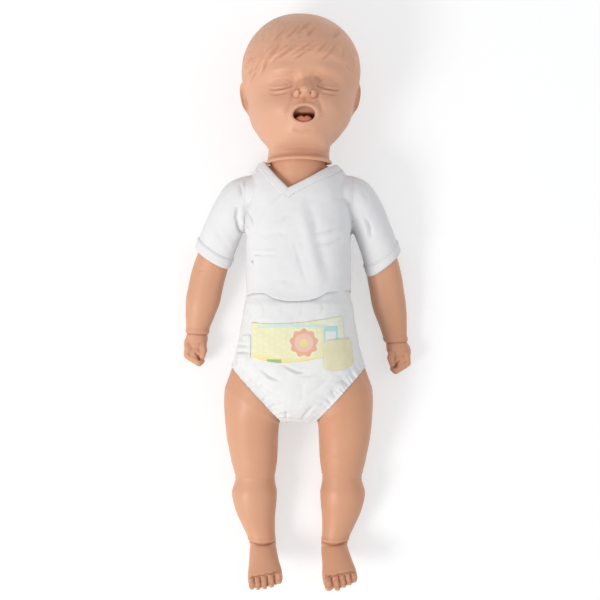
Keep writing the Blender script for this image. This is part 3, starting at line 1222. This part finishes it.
def hemLineAt(x):
    # how far down the shirt's hem hangs in front
    line = [(-62, 4.4), (-50, 8.4), (-40, 8.6), (-26, 2.2), (-9.7, -0.6), (9.7, 0.2), (26, 5.4), (34, 9.5),
            (62, 11.5)]
    x = np.clip(x, -62, 62)
    return through(line, np.ravel(x))[:, 0].reshape(np.shape(x))


def hemFlare(y, hem):
    # the hem stands off the nappy a little
    return 2.4 * np.exp(-np.maximum(y - hem, 0) / 5.5)


def sleeveEnd(side, sign):
    # where a sleeve ends and the way it points there
    x, y, z, turn = hemPlace[side]
    return np.array([sign * x, y, z]), np.array([sign * cos(radians(turn)), -sin(radians(turn)), -0.27])


def buildShirt():
    form = shirtForm()
    whole = surfaceOf(form)
    dropFaces(form, lambda x, y, z, n: z > 55 and bool(insideOutline(x, y, neckOpening)))
    cutBy(form, *clothes["collar"])
    pieces = {}
    body = copyOf(form, "shirt_body_cloth")
    for sign in (1, -1):
        cutBy(body, (sign * clothes["splitX"], 0, 0), (sign, 0, 0))
    cutBy(body, (0, 1.0, 0), (0, -1, 0))
    p = coords(body)
    low = p[:, 1] < 22
    hemLine = hemLineAt(p[:, 0])
    front = smoothstep(20, 60, p[:, 2])
    target = hemLine * front + 3.5 * (1 - front)
    p[low, 1] = (target + (p[:, 1] - 1.0) / 21.0 * (22.0 - target))[low]
    p[:, 2] += hemFlare(p[:, 1], target) * smoothstep(40, 80, p[:, 2])
    setCoords(body, p)
    thicken(body, clothes["thick"])
    flatUv(body)
    dress(body, cloth)
    pieces["body"] = body
    for side, sign in (("left", 1), ("right", -1)):
        sleeve = copyOf(form, "sleeve_" + side + "_cloth")
        cutBy(sleeve, (sign * clothes["splitX"], 0, 0), (sign, 0, 0), keepBelow=False)
        cutBy(sleeve, *sleeveEnd(side, sign))
        pieces["form_" + side] = copyOf(sleeve, "form_" + side)
        thicken(sleeve, clothes["thick"])
        flatUv(sleeve)
        dress(sleeve, cloth)
        pieces[side] = sleeve
    bpy.data.objects.remove(form)
    return pieces, whole


def evenly(line, count, rounds):
    # evenly spaced places along a line in plan, its corners rounded off, and how far along each lies
    run = runAlong(line)
    at = np.linspace(0, run[-1], count)
    mid = np.column_stack([np.interp(at, run, line[:, 0]), np.interp(at, run, line[:, 1])])
    for _ in range(rounds):
        mid[1:-1] = (mid[:-2] + mid[2:] + 2 * mid[1:-1]) / 4
    return at, mid


def beside(line, count, side):
    # a band's inner edge, with the level direction across the band at each place
    at, mid = evenly(np.asarray(line, float), count, 6)
    tangent = np.gradient(mid, axis=0)
    tangent /= np.linalg.norm(tangent, axis=1)[:, None]
    return at, mid, np.column_stack([-tangent[:, 1], tangent[:, 0]]) * side


def ribbonOn(name, tree, line, width, height, side, lift, count=160, cols=9):
    # a folded band along a line in plan, let down on to a surface; line runs along its inner edge
    at, mid, normal = beside(line, count, side)
    t = np.linspace(0, 1, cols)
    plan = mid[:, None] + normal[:, None] * (t * width)[None, :, None]
    rise = height * (1 - np.abs(2 * t - 1) ** 4) + lift
    points = dropOn(tree, plan, np.repeat(rise[None], count, axis=0))
    uv = np.stack([np.repeat((t * width)[None], count, axis=0) * mm,
                   np.repeat(at[:, None], cols, axis=1) * mm], axis=-1)
    obj = gridMesh(name, points, wrap=False, uv=uv)
    upward(obj)
    return obj


def upward(obj):
    # open patches face up
    if normals(obj)[:, 2].mean() < 0:
        obj.data.flip_normals()


def stitchRow(name, points, body, gap=1.35):
    # a run of stitches along points on a surface, made with geometry nodes and turned into a plain mesh
    stitchLong, half = clothes["stitch"]
    curve = meshFrom(name, points, [])
    bm = bmesh.new()
    verts = [bm.verts.new(Vector(p) * mm) for p in points]
    for a, b in zip(verts, verts[1:]):
        bm.edges.new((a, b))
    bm.to_mesh(curve.data)
    bm.free()
    tree = bpy.data.node_groups.new("stitches along a line", "GeometryNodeTree")
    face = tree.interface
    face.new_socket("Geometry", in_out="INPUT", socket_type="NodeSocketGeometry")
    sizes = {"Spacing": stitchLong * gap * mm, "Length": stitchLong * mm, "Half thickness": half * mm}
    sockets = {}
    for label, value in sizes.items():
        sockets[label] = face.new_socket(label, in_out="INPUT", socket_type="NodeSocketFloat")
        sockets[label].default_value = value
    face.new_socket("Geometry", in_out="OUTPUT", socket_type="NodeSocketGeometry")
    new = tree.nodes.new
    start, end = new("NodeGroupInput"), new("NodeGroupOutput")
    line, spaced = new("GeometryNodeMeshToCurve"), new("GeometryNodeResampleCurve")
    ball = new("GeometryNodeMeshIcoSphere")
    spaced.mode = "LENGTH"
    ball.inputs["Subdivisions"].default_value = 1
    ball.inputs["Radius"].default_value = 1.0
    toPoints, turn = new("GeometryNodeInstanceOnPoints"), new("FunctionNodeAlignRotationToVector")
    tangent, size = new("GeometryNodeInputTangent"), new("ShaderNodeCombineXYZ")
    keepTangent = new("GeometryNodeCaptureAttribute")
    keepTangent.capture_items.new("VECTOR", "way")
    halfLong = new("ShaderNodeMath")
    halfLong.operation = "MULTIPLY"
    halfLong.inputs[1].default_value = 0.5
    real, paint = new("GeometryNodeRealizeInstances"), new("GeometryNodeSetMaterial")
    paint.inputs["Material"].default_value = thread
    turn.axis = "X"
    for source, output, target, place in [
        (start, "Geometry", line, "Mesh"), (line, "Curve", spaced, "Curve"),
        (start, "Spacing", spaced, "Length"),
        (spaced, "Curve", keepTangent, "Geometry"), (tangent, 0, keepTangent, "way"),
        (keepTangent, "Geometry", toPoints, "Points"), (ball, "Mesh", toPoints, "Instance"),
        (keepTangent, "way", turn, "Vector"), (turn, "Rotation", toPoints, "Rotation"),
        (start, "Length", halfLong, 0), (halfLong, 0, size, "X"), (start, "Half thickness", size, "Y"),
        (start, "Half thickness", size, "Z"), (size, 0, toPoints, "Scale"),
        (toPoints, "Instances", real, "Geometry"),
        (real, "Geometry", paint, "Geometry"), (paint, "Geometry", end, "Geometry"),
    ]:
        tree.links.new(source.outputs[output], target.inputs[place])
    modifier = curve.modifiers.new("stitches", "NODES")
    modifier.node_group = tree
    for label, value in sizes.items():
        modifier[sockets[label].identifier] = value
    graph = bpy.context.evaluated_depsgraph_get()
    mesh = bpy.data.meshes.new_from_object(curve.evaluated_get(graph))
    curve.modifiers.clear()
    curve.data = mesh
    mesh.shade_smooth()
    return settle(curve, thread, "white_cloth", body)


def ringBand(name, form, place, along, width, rise, thick):
    # a doubled edge at the end of a sleeve: the strip of its surface nearest the end, raised and thickened
    band = copyOf(form, name)
    inner = np.asarray(place, float) - np.asarray(along) * width
    cutBy(band, inner, along, keepBelow=False)
    p, n = coords(band), normals(band)
    share = np.clip(((p - inner) @ along) / width, 0, 1)
    p += n * (0.15 + rise * (1 - np.abs(2 * share - 1) ** 6))[:, None]
    p[:, 2] = np.maximum(p[:, 2], 0.1)
    setCoords(band, p)
    thicken(band, thick)
    return band


def ringPoints(form, centre, along, count=150, lift=1.6):
    # places round a sleeve's surface, on a plane square to its axis
    tree = surfaceOf(form)
    along = np.asarray(along) / np.linalg.norm(along)
    side = np.cross(along, [0, 0, 1.0])
    side /= np.linalg.norm(side)
    up = np.cross(side, along)
    points = []
    for t in np.linspace(0, 2 * pi, count):
        way = side * cos(t) + up * sin(t)
        hit = tree.ray_cast(Vector(np.asarray(centre) * mm), Vector(way))[0]
        if hit is not None and hit.z > 0.003:
            points.append(np.array(hit) / mm + way * lift)
    return points


def dressShirt():
    pieces, tree = buildShirt()
    body = pieces["body"]
    extras = []
    for side, sign in (("left", 1), ("right", -1)):
        end, along = sleeveEnd(side, sign)
        along /= np.linalg.norm(along)
        form = pieces.pop("form_" + side)
        band = ringBand("sleeve_band_" + side, form, end, along, clothes["hemWidth"], 0.9, 1.5)
        flatUv(band)
        settle(band, cloth, "white_cloth", "arm_" + side, "sleeve_hem_" + side)
        seam = ringPoints(form, end - along * (clothes["hemWidth"] - 2.0), along)
        row = stitchRow("sleeve_stitches_" + side, seam, "arm_" + side)
        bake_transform(pieces[side])
        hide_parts("sleeve_" + side)
        bpy.data.objects.remove(form)
    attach(body, "torso")
    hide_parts("shirt_body")
    extras.append(wrapPanel(tree))
    extras += neckBands(tree)
    snap = ballPart((0, 0, 0), (2.3, 2.3, 0.45), n=16)
    hit = dropOn(tree, np.array([[clothes["snap"]]]), 0.45)[0, 0]
    setCoords(snap, coords(snap) + hit)
    snap.name = "snap_cap"
    outward(snap)
    extras.append(settle(snap, snapLook, "snap_metal", "torso", "snap"))


def wrapPanel(tree):
    # the upper front of the wrap: free along its left edge, gone into the body's cloth further in
    edge = np.array(picture((334, 163.6), (312, 176), (288.8, 188.4), (263.7, 212.2), (256.4, 230),
                            (254.4, 262), (253.6, 291.4),
                            height=94.0))
    rows, cols = ((220, 24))
    at, mid = evenly(edge, rows, 30)
    share = at / at[-1]
    reach = np.interp(share, [0.0, 0.22, 0.42, 0.6, 1.0], [14.0, 24.0, 34.0, 40.0, 40.0])
    way = np.column_stack([np.interp(share, [0, 0.3, 0.5, 1], [0.35, 0.75, 1.0, 1.0]),
                           np.interp(share, [0, 0.3, 0.5, 1], [-0.94, -0.66, 0.0, 0.0])])
    t = np.linspace(0, 1, cols) ** 1.5
    plan = mid[:, None] + way[:, None] * (reach[:, None] * t)[..., None]
    lift = 1.55 * (1 - t) ** 1.3 - 0.75 * t
    lift = np.repeat(lift[None], rows, axis=0)
    lift += 0.35 * np.sin(at / 9.0)[:, None] * (1 - t)[None] ** 2
    lift += hemFlare(plan[..., 1], hemLineAt(plan[..., 0])) * 1.1
    points = dropOn(tree, plan, lift)
    uv = np.stack([plan[..., 0] * mm, plan[..., 1] * mm], axis=-1)
    panel = gridMesh("shirt_wrap_panel", points, wrap=False, uv=uv)
    upward(panel)
    plumpUp(panel, 1.2)
    return settle(panel, cloth, "white_cloth", "torso", "shirt_wrap")


def neckBands(tree):
    made = []
    under = picture((264.9, 160.2), (266.0, 162.6), (276, 175.4), (291.5, 191.4), height=93.0)
    over = picture((335.6, 163.2), (334.2, 164.6), (312, 175.9), (288.4, 188.0), (283.6, 192.4), height=94.0)
    for name, line, side, lift in [("neckband_under", under, -1.0, 0.9), ("neckband_over", over, 1.0, 1.3)]:
        band = ribbonOn(name, tree, line, clothes["bandWidth"], 1.0, side, lift)
        plumpUp(band, 1.4)
        made.append(settle(band, cloth, "white_cloth", "torso"))
        _, mid, normal = beside(line, 160, side)
        spots = dropOn(tree, (mid + normal * (clothes["bandWidth"] - 1.2))[None], lift + 0.85)[0]
        made.append(stitchRow(name + "_stitches", spots, "torso"))
    # the collar's strip behind the neck
    t = np.linspace(-1.12 * pi, 0.12 * pi, 120)
    rows = []
    place, slope = clothes["collar"]
    for down, grow in [(-0.2, -0.6), (0.0, 0.4), (1.9, 1.0), (4.9, 1.1), (7.9, 0.8), (9.0, -0.3)]:
        ring = np.zeros((len(t), 3))
        ring[:, 1] = 156.0 - down
        for _ in range(4):
            wide, low, high, square = through(np.asarray(shirtRows, float), ring[:, 1]).T
            c, s = np.cos(t), np.sin(t)
            size = (np.abs(c) ** square + np.abs(s) ** square) ** (-1 / square)
            ring[:, 0] = (wide + clothes["side"] + grow) * c * size
            ring[:, 2] = (low + high) / 2 + ((high - low) / 2 + clothes["front"] + grow) * s * size
            ring[:, 1] = place[1] - slope[0] * ring[:, 0] - slope[2] * (ring[:, 2] - place[2]) - down
        rows.append(ring)
    back = gridMesh("neckband_back", np.array(rows), wrap=False)
    outward(back)
    plumpUp(back, 1.2)
    flatUv(back)
    made.append(settle(back, cloth, "white_cloth", "torso"))
    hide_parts("neckband")
    return made


def buildTorso():
    # bare trunk: seen in the neck opening and from behind
    parts = [gridMesh("part", trunkGrid(0, 0, 0, -130.6, 151.6, trunkRows), startCap=True, endCap=True)]
    for sign in (1, -1):
        parts.append(capsulePart((sign * 34, 116, 50), (sign * 52, 116, 50), 22.5, 22.5))
    parts.append(ballPart(head["pivot"], (head["seat"], head["seat"], head["seat"]), n=36))
    parts.append(capsulePart((0, 136, 60), (0, 150, 66.5), 33.5, 31.5, n=40))
    for part in parts:
        outward(part)
    torso = joined("torso_skin", parts)
    remesh(torso, 1.7)
    relax(torso, 4, 0.5)
    p, n = coords(torso), normals(torso)
    depth = crease(p[:, 0], p[:, 1], [(-40, 140), (-18, 137), (0, 133), (18, 137), (40, 140)], 4.0, 1.2,
                   0.3) * (n[:, 2] > 0.3)
    depth += bump(p[:, 0], p[:, 1], 0, 120, 3.0, 12.0, -0.8) * (n[:, 2] > 0.3) + 0.15 * noise(p, 30.0, 4)
    p += n * depth[:, None]
    p[:, 2] = np.maximum(p[:, 2], 0.4)
    p[:, 0] = np.clip(p[:, 0], -60.4, 60.4)
    for sign in (1, -1):
        hip, axis = hipFrame(sign)
        p -= axis * np.maximum((p - hip) @ axis + 0.4, 0)[:, None]
    setCoords(torso, p)
    outward(torso)
    settle(torso, skin, "skin_vinyl", "torso", "trunk_shell", "chest_skin", "neck_seat")


# nappy
nappy = {
    "rows": [(-137.6, 17.0, 22.0, 62.0), (-131, 31, 9.0, 74.0), (-117, 52, 1.4, 87.0), (-95, 71, 0.0, 96.6),
             (-72, 73, 0.0, 101.0), (-50, 69, 0.0, 102.4), (-25, 64.8, 0.0, 101.6), (-5, 61.6, 1.2, 99.6),
             (3, 59.6, 2.6, 97.0), (14, 58.0, 2.6, 96.4), (27, 56.6, 2.6, 95.0)],
    "power": 2.4,
    "thick": 1.8,
    "cuffWidth": 7.0,
    "legRing": 41.2,      # least radius of the leg's elastic about the hip's axis
}
nappyFolds = [
    (((260.4, 369.4), (269, 377), (278.6, 380)), 1.7, -1.9, 0.3),
    (((262, 373), (270, 380.5), (280, 383.5)), 2.2, 1.2, 0.3),
    (((282.4, 364.8), (290, 369), (297.7, 372.6), (307, 372.4)), 1.7, -1.9, 0.3),
    (((284, 368.4), (292, 373), (301, 376)), 2.0, 1.0, 0.3),
    (((296.8, 376.4), (311, 376.4), (325, 371.3)), 1.7, -1.3, 0.3),
    (((233, 352), (242, 351.6), (251, 353)), 1.7, -1.8, 0.3),
    (((236, 344), (244, 345.6), (250, 346)), 1.8, -0.9, 0.3),
    (((336, 381.6), (343, 381.4), (350, 382.3)), 1.3, -1.5, 0.3),
    (((337, 385.2), (343, 386.2), (348, 387.0)), 1.3, 1.0, 0.3),
    (((331.2, 390.4), (335, 395.6), (340.4, 399.6)), 1.3, -1.5, 0.3),
    (((337, 391.6), (342, 395), (346, 396.6)), 1.2, -1.2, 0.3),
    (((327.4, 399), (332, 403.6), (336, 406.6)), 1.3, -0.9, 0.3),
    (((286.4, 410.4), (286, 416), (285.3, 422)), 1.3, -1.7, 0.3),
    (((313.4, 406.4), (307, 413.6), (301.6, 420)), 2.2, -2.0, 0.3),
    (((258, 384), (270, 392), (283, 396)), 2.8, -0.8, 0.35),
    (((330, 376), (320, 386), (311, 392)), 2.8, -0.9, 0.35),
    (((343, 306), (347, 313), (348.6, 322)), 2.2, -1.1, 0.35),
    (((247, 306), (249, 314), (248, 322)), 2.2, -0.9, 0.35),
    (((262, 303), (264, 310), (263, 317)), 1.8, -0.6, 0.35),
    (((281, 306), (282, 312), (281, 318)), 1.8, -0.5, 0.35),
    (((300, 306), (301, 312), (300, 318)), 1.8, -0.5, 0.35),
    (((322, 302), (323, 308), (321, 314)), 1.8, -0.6, 0.35),
    (((352, 334), (346, 342), (345, 352)), 2.4, -0.9, 0.35),
    (((237, 334), (244, 340), (246, 347)), 2.4, -0.8, 0.35),
    (((301, 383), (301.4, 392), (301, 401)), 1.6, -0.5, 0.3),
]


def buildNappy():
    count, cols = ((300, 260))
    grid = trunkGrid(0, 0, 0, -137.6, 25.0, nappy["rows"], count, cols, nappy["power"])
    form = gridMesh("nappy_cloth", grid, endCap=True)
    outward(form)
    p, n = coords(form), normals(form)
    sx, sy = seen(p)
    facing = smoothstep(-0.2, 0.4, n[:, 2])
    depth = np.zeros(len(p))
    for path, width, height, taper in nappyFolds:
        depth += crease(sx, sy, picture(*path), width, height, taper) * facing
    for sign in (1, -1):
        # gathers run away from the leg's elastic
        hip, axis = hipFrame(sign)
        q = p - hip
        off = -(q @ axis)
        side = np.cross(axis, [0, 0, 1.0])
        turn = np.arctan2(q[:, 2], q @ side)
        wave = np.sin(turn * 23 + 1.4 * np.sin(turn * 5.0 + sign) + sign) + 0.5 * np.sin(turn * 39 + 2.0)
        depth += wave * 0.75 * np.exp(-((np.maximum(off, 0) / 11.0) ** 1.5))
    depth += noise(p * [1, 1.2, 1], 40.0, 31) * 0.5 + noise(p, 15.0, 32) * 0.25
    depth *= smoothstep(0.6, 8.0, p[:, 2])
    p += n * depth[:, None]
    p[:, 2] = np.maximum(p[:, 2], 0.2)
    setCoords(form, p)
    shade = np.exp(-(((p[:, 1] - hemLineAt(p[:, 0]) + 0.9) / 1.3) ** 2)) * smoothstep(50, 80, p[:, 2])
    shade *= smoothstep(40.0, 22.0, p[:, 0])
    paintPoints(form, "fold", np.maximum(shade, 0.8 * crevices(form, 10, 0.9)))
    for sign in (1, -1):
        hip, axis = hipFrame(sign)
        cutBy(form, hip - axis * 0.5, axis)
    dropFaces(form, lambda x, y, z, n: n.y > 0.8 and y > 24)
    tree = surfaceOf(form)
    cuffs = [legCuff(tree, side, sign) for side, sign in (("left", 1), ("right", -1))]
    band, tapes = frontBand(tree)
    thicken(form, nappy["thick"])
    flatUv(form)
    settle(form, nappyLook, "diaper_cloth", "torso", "diaper")


def legCuff(tree, side, sign):
    # the elastic edge round the leg, ruffled
    hip, axis = hipFrame(sign)
    out = np.cross(axis, [0, 0, 1.0])
    turns = np.linspace(0, 2 * pi, 420, endpoint=False)
    width = nappy["cuffWidth"]
    # place behind the leg's joint face, and height over the cloth; the first rows lap over the joint
    table = [(-1.5, -0.5), (-1.7, 0.7), (-0.9, 1.6), (0.8, 1.9), (2.8, 1.5), (5.0, 0.8), (width, 0.1),
             (width + 1.6, -0.6)]
    rows = [[] for _ in table]
    for t in turns:
        way = out * cos(t) + np.array([0, 0, 1.0]) * sin(t)
        wave = 0.75 * np.sin(t * 46 + 1.6 * np.sin(t * 7)) + 0.35 * np.sin(t * 71 + 1.0)
        for row, (off, rise) in zip(rows, table):
            centre = hip - axis * off
            hit = tree.ray_cast(Vector((hip - axis * max(off, 0.9) + way * 130) * mm), Vector(-way))[0]
            reach = (np.array(hit) / mm - hip) @ way if hit is not None else nappy["legRing"]
            lift = rise * (1 + 0.35 * wave) if rise > 1 else rise
            spot = centre + way * max(reach + lift, nappy["legRing"] if off < 1.2 else 0.0)
            spot[2] = max(spot[2], 0.15)
            row.append(spot)
    cuff = gridMesh("leg_cuff_" + side + "_ruffle", np.array(rows))
    outward(cuff)
    flatUv(cuff)
    return settle(cuff, nappyLook, "diaper_cloth", "torso", "leg_cuff_" + side)


def patch(name, tree, top, bottom, lift, thick, cols=90, rows=36, corner=0.0):
    # a film patch between a top and a bottom line in the picture, let down on to the nappy
    top, bottom = (np.array(picture(*line, height=100.0)) for line in (top, bottom))
    s = np.linspace(0, 1, cols)
    lineAt = lambda line: np.column_stack([through(np.column_stack([np.linspace(0, 1, len(line)), line]), s)])
    a, b = lineAt(top), lineAt(bottom)
    v = np.linspace(0, 1, rows)[:, None, None]
    if corner:
        squeeze = np.clip(np.minimum(s, 1 - s) / corner, 0, 1)
        inset = (1 - np.sqrt(1 - (1 - squeeze) ** 2)) * 0.16
        v = inset[None, :, None] + v * (1 - 2 * inset[None, :, None])
    plan = a[None] * (1 - v) + b[None] * v
    points = dropOn(tree, plan, lift)
    film = gridMesh(name, points, wrap=False, uv=plan * mm)
    upward(film)
    plumpUp(film, thick)
    return film


def frontBand(tree):
    band = patch("front_band_film", tree, ((251.2, 322.6), (272, 323.6), (298, 322.6), (322, 319.4),
                                           (342.5, 315.8)),
                 ((252.6, 357.7), (266, 361.2), (281, 362.8), (302, 361.2), (346, 352.0)), 0.75, 0.9)
    settle(band, printLook, "printed_film", "torso", "front_band")
    tapes = []
    ends = [("left", ((322.6, 341), (336, 339.4), (351.4, 338.6)),
             ((324.8, 371), (338, 370.2), (352.6, 366.6))),
            ("right", ((241.4, 336), (246, 335.4), (250.6, 335)),
             ((240.6, 358), (246, 359.0), (250.6, 359.6)))]
    for side, top, bottom in ends:
        lift, thick = (1.7, 0.7) if side == "left" else (0.9, 0.4)
        tape = patch("tape_" + side + "_film", tree, top, bottom, lift, thick, 40, 40, corner=0.22)
        look = tapeLook if side == "left" else clearTape
        tapes.append(settle(tape, look, "tape_film", "torso", "tape_" + side))
    return band, tapes


def printPaint():
    # a made-up pattern: a round scalloped flower, dots and soft stripes
    p = Paint("printed film", Sheen_Weight=0.1, IOR=1.4)
    x, y = p.sheetPlace()
    x, y = x * 1000.0, y * 1000.0
    olive, lime, cream, teal = (0.83, 0.81, 0.50), (0.80, 0.85, 0.68), (0.88, 0.87, 0.74), (0.50, 0.70, 0.70)
    colour = p.mix((x + y * 0.4).ramp(8.0, 24.0), olive, lime)
    warped = x + (y * 0.21).sin() * 2.6
    stripes = (warped * 0.42).sin().ramp(0.55, 0.9)
    colour = p.mix(stripes * 0.30, colour, (0.85, 0.80, 0.48))
    cellX, cellY = (x / 6.5).fraction() - 0.5, (y / 6.5 + (x / 6.5).floor() * 0.5).fraction() - 0.5
    dots = (cellX * cellX + cellY * cellY).sqrt().ramp(0.24, 0.18)
    colour = p.mix(dots * 0.60, colour, cream)
    colour = p.mix((y + 66.0 - (x + 4.0) * (x + 4.0) * 0.0022).ramp(2.4, 0.8), colour, (0.86, 0.76, 0.34))
    dx, dy = x - 6.0, y + 47.0
    radius = (dx * dx + dy * dy).sqrt()
    angle = dy.math("ARCTAN2", dx)
    scallop = radius - (angle * 9.0).sin() * 1.3
    colour = p.mix(scallop.ramp(17.6, 16.8), colour, (0.86, 0.84, 0.62))
    colour = p.mix(scallop.ramp(15.4, 14.6), colour, (0.83, 0.43, 0.30))
    colour = p.mix(radius.ramp(10.8, 10.0), colour, (0.86, 0.56, 0.42))
    colour = p.mix(radius.ramp(5.0, 4.4), colour, (0.84, 0.70, 0.30))
    near = lambda wire, middle, half, soft: (wire - middle).size().ramp(half, half - soft)
    colour = p.mix(near(x, 35.6, 8.2, 0.6) * near(y, -38.4, 10.4, 0.6), colour, teal)
    colour = p.mix(near(x, 35.6, 6.0, 0.5) * near(y, -40.4, 6.2, 0.5), colour, (0.80, 0.84, 0.82))
    edge = y + (x - 2.0) * (x - 2.0) * 0.0006
    stripe = near(edge, -28.0, 1.9, 0.5) * (x + 46.0).ramp(0.0, 2.0) * (x - 29.0).ramp(2.0, 0.0)
    colour = p.mix(stripe, colour, (0.60, 0.78, 0.74))
    colour = p.mix(near(y, -67.5, 2.4, 0.6) * near(x, -27.0, 8.4, 0.6), colour, (0.30, 0.52, 0.20))
    colour = p.mix(near(y, -69.6, 0.9, 0.4) * near(x, -25.0, 5.4, 0.6), colour, (0.66, 0.16, 0.12))
    soft = p.noise(60.0, 3.0).ramp(0.3, 0.7)
    colour = p.mix(soft * 0.12, colour, (0.86, 0.86, 0.80))
    weave = p.noise(1800.0, 2.0)
    return p.set(Base_Color=colour, Roughness=weave.ramp(0.3, 0.7, 0.62, 0.78),
                 Normal=p.bump(weave, 0.15, 0.0003))


nappyLook = clothPaint("soft nonwoven", (0.84, 0.84, 0.83), 1100.0, 0.22)
thread = plainPaint("sewing thread", (0.74, 0.74, 0.76), 0.8, grain=2500.0, strength=0.3)
snapLook = plainPaint("snap metal", (0.76, 0.76, 0.78), 0.7, metal=1.0)
tapeLook = plainPaint("tape film", (0.86, 0.81, 0.55), 0.45, strength=0.12, Alpha=0.93)
clearTape = plainPaint("clear tape film", (0.86, 0.86, 0.83), 0.45, strength=0.12, Alpha=0.93)
printLook = printPaint()
buildTorso()
print("stage: torso")
dressShirt()
print("stage: shirt")
buildNappy()
print("stage: nappy")


# picture
def buildStage():
    floor = meshFrom("floor", [(-6000, -6000, -0.3), (6000, -6000, -0.3), (6000, 6000, -0.3),
                               (-6000, 6000, -0.3)],
                     [[0, 1, 2, 3]], smooth=False)
    p = Paint("pale ground", Emission_Strength=1.0)
    tone = p.mix(p.noise(1.2, 2.0) * 0.5, (0.87, 0.875, 0.89), (0.84, 0.845, 0.86))
    camera, glossy, clear = (p.node("ShaderNodeLightPath", {}, {}, "Is %s Ray" % label)
                                for label in ("Camera", "Glossy", "Transmission"))
    direct = camera.most(glossy).most(clear)
    tone = p.mix(direct, tone, (0.50, 0.505, 0.515))
    dress(floor, p.set(Base_Color=tone, Roughness=0.9,
                       Emission_Color=p.mix(direct, (0.0, 0.0, 0.0), (0.53, 0.53, 0.525))))
    world = bpy.data.worlds.new("soft sky")
    bpy.context.scene.world = world
    world.use_nodes = True
    world.node_tree.nodes["Background"].inputs["Color"].default_value = (0.97, 0.98, 1.0, 1.0)
    world.node_tree.nodes["Background"].inputs["Strength"].default_value = 0.62
    for name, where, size, power, colour in [
        ("key", (-1.7, -1.1, 1.9), 0.9, 39.0, (1.0, 0.975, 0.945)),
        ("fill", (1.8, 0.9, 1.8), 1.8, 6.0, (0.94, 0.97, 1.0)),
    ]:
        lamp = bpy.data.lights.new(name, "AREA")
        lamp.size, lamp.energy, lamp.color = size, power, colour
        obj = bpy.data.objects.new(name, lamp)
        obj.location = where
        obj.rotation_euler = (Vector((0, 0, 0.05)) - Vector(where)).to_track_quat("-Z", "Y").to_euler()
        bpy.context.scene.collection.objects.link(obj)
    cam = bpy.data.cameras.new("camera")
    cam.sensor_width = 36.0
    cam.lens = 36.0 * (view["height"] - view["plane"]) / view["across"]
    cam.clip_end = 50.0
    eye = bpy.data.objects.new("camera", cam)
    eye.location = (view["aimX"], view["aimY"], view["height"])
    bpy.context.scene.collection.objects.link(eye)
    bpy.context.scene.camera = eye
    bpy.context.scene.view_settings.view_transform = "Standard"


buildStage()
print("stage: done")
